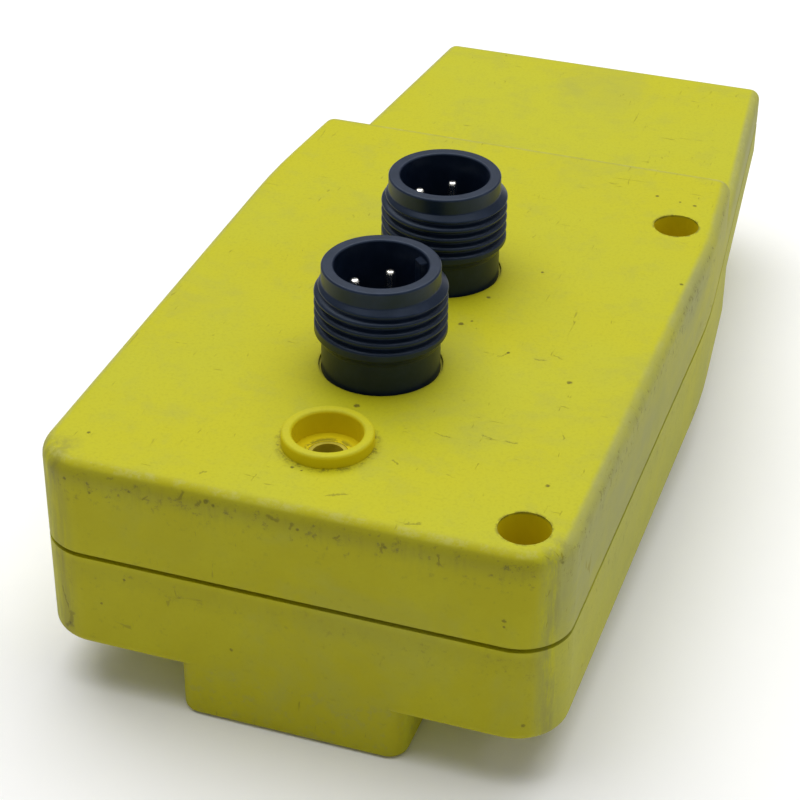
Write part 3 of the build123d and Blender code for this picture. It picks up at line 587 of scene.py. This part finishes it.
finishes = {
    **shell_finishes,
    "housing_seal": seam_rubber, "housing_screws": steel, "board_screws": steel, "clamp_screws": steel,
    "connector_clamp": clamp_steel, "connector_oring_1": rubber, "connector_oring_2": rubber,
    "contact_insert_1": carrier_black, "contact_insert_2": carrier_black,
    "contact_pins_1": pin_metal, "contact_pins_2": pin_metal,
    "connector_shell_1": part_black, "connector_shell_2": part_black,
    "main_board": green_board, "optics_board": green_board, "controller_chip": part_black,
    "power_inductor": part_black, "output_transistors": part_black, "capacitors": can_metal,
    "board_header": part_black, "adjuster_sleeve": sleeve_yellow, "trimmer_body": trimmer_olive,
    "trimmer_rotor": rotor_brass, "optics_holder": holder_black, "emitter_lens": lens_clear,
    "receiver_lens": lens_clear, "emitter_polariser": film_grey, "receiver_polariser": film_grey,
    "front_window": window_clear, "window_seal": rubber, "emitter_led": led_epoxy,
    "receiver_photodiode": dark_epoxy, "indicator_led": led_epoxy,
    "indicator_light_pipe": lens_clear,
}
for node_name, node_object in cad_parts.items():
    node_object.data.materials.clear()
    node_object.data.materials.append(finishes[node_name])
print("finishes given to", len(finishes), "nodes")

# %% [markdown]
# ## The threaded plugs
#
# Each plug is a black moulded shell with an M12 thread outside, a plain band at its mouth, and a
# key that points into the socket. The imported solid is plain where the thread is, so the shell is
# made again here. A screw tool could sweep a thread profile, but its two ends need mending by hand.
# Instead the whole shell is one grid: each row is a ring at one level, each column an angle, and
# the thread is a groove that makes the radius smaller. It fades in and out along its own length,
# so it starts and stops the way a cut thread does.

# %% Turn a grid of points into a closed mesh
def ring_mesh(name, points):
    """A piece from points[row, column], joined round in both directions, with faces outwards."""
    rows, columns, _ = points.shape
    index = np.arange(rows * columns).reshape(rows, columns)
    right = np.roll(index, -1, axis=1)
    faces = np.stack([index, right, np.roll(right, -1, axis=0), np.roll(index, -1, axis=0)], axis=-1)
    faces = faces.reshape(-1, 4)
    flat = points.reshape(-1, 3)
    first, second, third = (flat[faces[:, corner]] for corner in (0, 1, 2))
    if np.sum(first * np.cross(second, third)) < 0:
        faces = faces[:, ::-1]
    mesh = bpy.data.meshes.new(name)
    mesh.from_pydata(flat.tolist(), [], faces.tolist())
    mesh.shade_smooth()
    piece = bpy.data.objects.new(name, mesh)
    bpy.context.scene.collection.objects.link(piece)
    return piece


# %% Profile of a plug's shell
def dense_path(corners, step):
    """Points along straight runs between (radius, level) corners, at most one step apart."""
    runs = []
    for start, end in zip(corners, corners[1:]):
        start, end = np.array(start), np.array(end)
        count = max(2, int(math.ceil(np.linalg.norm(end - start) / step)))
        shares = np.linspace(0, 1, count, endpoint=False)[:, None]
        runs.append(start + shares * (end - start))
    return np.concatenate(runs)


def groove_depth(turns_down, angles, turns):
    """How deep the thread's groove is, from 0 to 1, at depths counted in pitches.

    The groove's middle lies where depth minus angle, in turns, is a whole number. Its section is
    a raised cosine, which leaves round crests, and it fades over its first and last fifth turn."""
    share = angles[None, :] / (2 * math.pi)
    lag = turns_down[:, None] - share
    turn_number = np.round(lag)
    flank = (0.5 + 0.5 * np.cos(2 * math.pi * (lag - turn_number))) ** 1.3
    travelled = turn_number + share
    fade_in = np.clip(travelled / 0.2, 0, 1)
    fade_out = np.clip((turns - travelled) / 0.2, 0, 1)
    return flank * fade_in * fade_out


# %% Lengths of a plug, in millimetres
socket, mouth, collar, crest, seal_groove = 4.22, 5.34, 5.38, 6.0, 4.76
edge_chamfer, thread_chamfer, collar_flare = 0.12, 0.6, 0.18
mouth_band, thread_low_height, collar_drop = 1.55, 3.15, 0.35
seal_depths = (1.95, 1.25)
thread_depth, thread_turns, thread_start = 0.58, 4.1, 8.33
thread_start_angle = math.radians(90)
key_half_width, key_flank, key_height, key_below_rim = 0.75, 0.1, 0.6, 0.6
ring_step, ring_points = 0.08, 240
print("thread: radius", crest, "mm,", thread_turns, "turns")


# %% The corners of a plug's section
def plug_corners(rim, bottom, base):
    """(radius, level) corners: up the socket, over the mouth, down the thread and the collar."""
    thread_top, thread_low = rim - mouth_band, base + thread_low_height
    seal_low, seal_high = (base - depth for depth in seal_depths)
    return [(socket, bottom), (socket, rim - edge_chamfer), (socket + edge_chamfer, rim),
            (mouth - edge_chamfer, rim), (mouth, rim - edge_chamfer), (mouth, thread_top),
            (crest, thread_top - thread_chamfer), (crest, thread_low + thread_chamfer),
            (collar + collar_flare, thread_low), (collar, thread_low - collar_drop),
            (collar, seal_high), (seal_groove, seal_high), (seal_groove, seal_low),
            (collar, seal_low), (collar, bottom), (socket, bottom)]


# %% A whole plug shell
def plug_shell(name, node, key_angle):
    """A plug's shell as rings: radius is the profile's, less the thread's groove and the key."""
    low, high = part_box(node)
    center = (low + high) / 2
    rim, bottom, base = high.z / MM, low.z / MM, top_level / MM
    path = dense_path(plug_corners(rim, bottom, base), ring_step)
    angles = np.linspace(0, 2 * math.pi, ring_points, endpoint=False)
    thread_angles = np.mod(angles - thread_start_angle, 2 * math.pi)
    depth = (base + thread_start) - path[:, 1]
    outside = ((path[:, 0] > mouth) & (path[:, 1] < rim - mouth_band)
               & (path[:, 1] > base + thread_low_height))
    thread = groove_depth(depth, thread_angles, thread_turns)
    radius = path[:, :1] - thread_depth * thread * outside[:, None]
    radius = np.where(outside[:, None], np.maximum(radius, mouth), radius)
    bore = (path[:, 0] < socket + 0.01) & (path[:, 1] < rim - key_below_rim)
    turn = np.angle(np.exp(1j * (angles - key_angle)))
    key = np.clip((key_half_width - np.abs(turn) * socket) / key_flank, 0, 1)
    radius = radius - key_height * key[None, :] * bore[:, None]
    points = np.stack([center.x + radius * MM * np.cos(angles),
                       center.y + radius * MM * np.sin(angles),
                       np.broadcast_to(path[:, 1:] * MM, radius.shape)], axis=-1)
    piece = ring_mesh(name, points)
    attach(piece, "sensor_body")
    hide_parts(node)
    print(name, "has", len(piece.data.polygons), "faces")
    return piece


# %% Black plug finish
def plug_finish():
    """Satin black plastic whose navy tint and blue-tinted gloss are a painted reflection of a bluish
    room, with a few specks of lint and a fine grain.
    """
    f = Finish("plug_black")
    clouds = f.noise(1.5, detail=5, roughness=0.6)
    grain = f.noise(0.15, detail=2)
    # Painted reflection: the navy tint here and the blue specular tint below stand in for a bluish room
    # mirrored in the plastic.
    tint = f.blend(f.ramp(clouds, 0.4, 0.7), (0.004, 0.010, 0.026), (0.007, 0.014, 0.035))
    lint = f.specks(1.8, 0.09, 0.12)
    tint = f.blend(lint, tint, (0.10, 0.10, 0.08))
    return f.surface(Base_Color=tint, Roughness=0.30 + clouds * 0.14, Specular_IOR_Level=0.42,
                     Specular_Tint=(0.66, 0.80, 1.0, 1.0),
                     Normal=f.bumps(grain * 0.4 + clouds * 0.6, 0.012))


plug_black = plug_finish()
front_plug = plug_shell("plug_thread_1", "connector_shell_1", math.radians(45))
rear_plug = plug_shell("plug_thread_2", "connector_shell_2", math.radians(-45))
for plug in (front_plug, rear_plug):
    plug.data.materials.append(plug_black)

# %% [markdown]
# ## Floor, light and camera
#
# The sensor lies on a plain pale floor, a hair below its lowest face, because two faces in one plane
# flicker. A wide soft lamp overhead, a little beyond the far end, makes the top bright and leaves
# the near wall darker. A weak lamp lifts the right wall, and a pale world fills the rest. The colours
# are shown without a film curve, since such a curve pales a strong yellow. The camera stands
# where the photographer stood, worked out from the photograph's edges: it looks down at
# about 33 degrees, from a little over two object lengths away, with a long lens.

# %% Floor
floor_reach, floor_gap = 3.0, 0.05 * MM
floor_corners = (np.array([(-1, -1, 0), (1, -1, 0), (1, 1, 0), (-1, 1, 0)]) * floor_reach
                 - (0, 0, floor_gap))
floor_mesh = bpy.data.meshes.new("floor")
floor_mesh.from_pydata(floor_corners.tolist(), [], [(0, 1, 2, 3)])
floor = bpy.data.objects.new("floor", floor_mesh)
bpy.context.scene.collection.objects.link(floor)
paper = Finish("pale_paper")
fibres = paper.noise(4, detail=4)
paper_tint = paper.blend(fibres, (0.95, 0.95, 0.95), (0.97, 0.97, 0.97))
floor_mesh.materials.append(paper.surface(Base_Color=paper_tint, Roughness=0.9))
print("floor reaches", floor_reach, "m each way")

# %% Light
def soft_light(name, place, target, size, power):
    """A square area light that faces its target."""
    lamp = bpy.data.lights.new(name, "AREA")
    lamp.size = size
    lamp.energy = power
    holder = bpy.data.objects.new(name, lamp)
    towards = (Vector(target) - Vector(place)).to_track_quat("-Z", "Y")
    holder.matrix_world = Matrix.Translation(place) @ towards.to_matrix().to_4x4()
    bpy.context.scene.collection.objects.link(holder)
    print(name, "lamp:", size, "m wide,", power, "W")


soft_light("overhead", place=(-0.1, 0.25, 0.9), target=(0, 0, 0), size=1.3, power=13.0)
soft_light("right_fill", place=(0.9, 0.15, 0.35), target=(0, 0, 0.01), size=0.6, power=0.5)
room_brightness = 0.25
world = bpy.data.worlds.new("pale_room")
world.use_nodes = True
background = world.node_tree.nodes["Background"]
background.inputs["Color"].default_value = (1, 1, 1, 1)
background.inputs["Strength"].default_value = room_brightness
bpy.context.scene.world = world
bpy.context.scene.view_settings.view_transform = "Standard"

# %% Camera
camera_place = Vector((56.445, -189.50, 132.08)) * MM
yaw, pitch, roll = (math.radians(angle) for angle in (18.7, 33.152, 0.511))
sensor_width, focal_length = 36, 100.4
camera_data = bpy.data.cameras.new("camera")
camera_data.sensor_width = sensor_width
camera_data.lens = focal_length
camera_data.clip_start = 0.01
camera = bpy.data.objects.new("camera", camera_data)
camera.matrix_world = (Matrix.Translation(camera_place) @ Matrix.Rotation(yaw, 4, "Z")
                       @ Matrix.Rotation(math.pi / 2 - pitch, 4, "X") @ Matrix.Rotation(roll, 4, "Z"))
bpy.context.scene.collection.objects.link(camera)
bpy.context.scene.camera = camera
print("camera is", round(camera_place.length / (far_end - near_end), 2), "object lengths away")
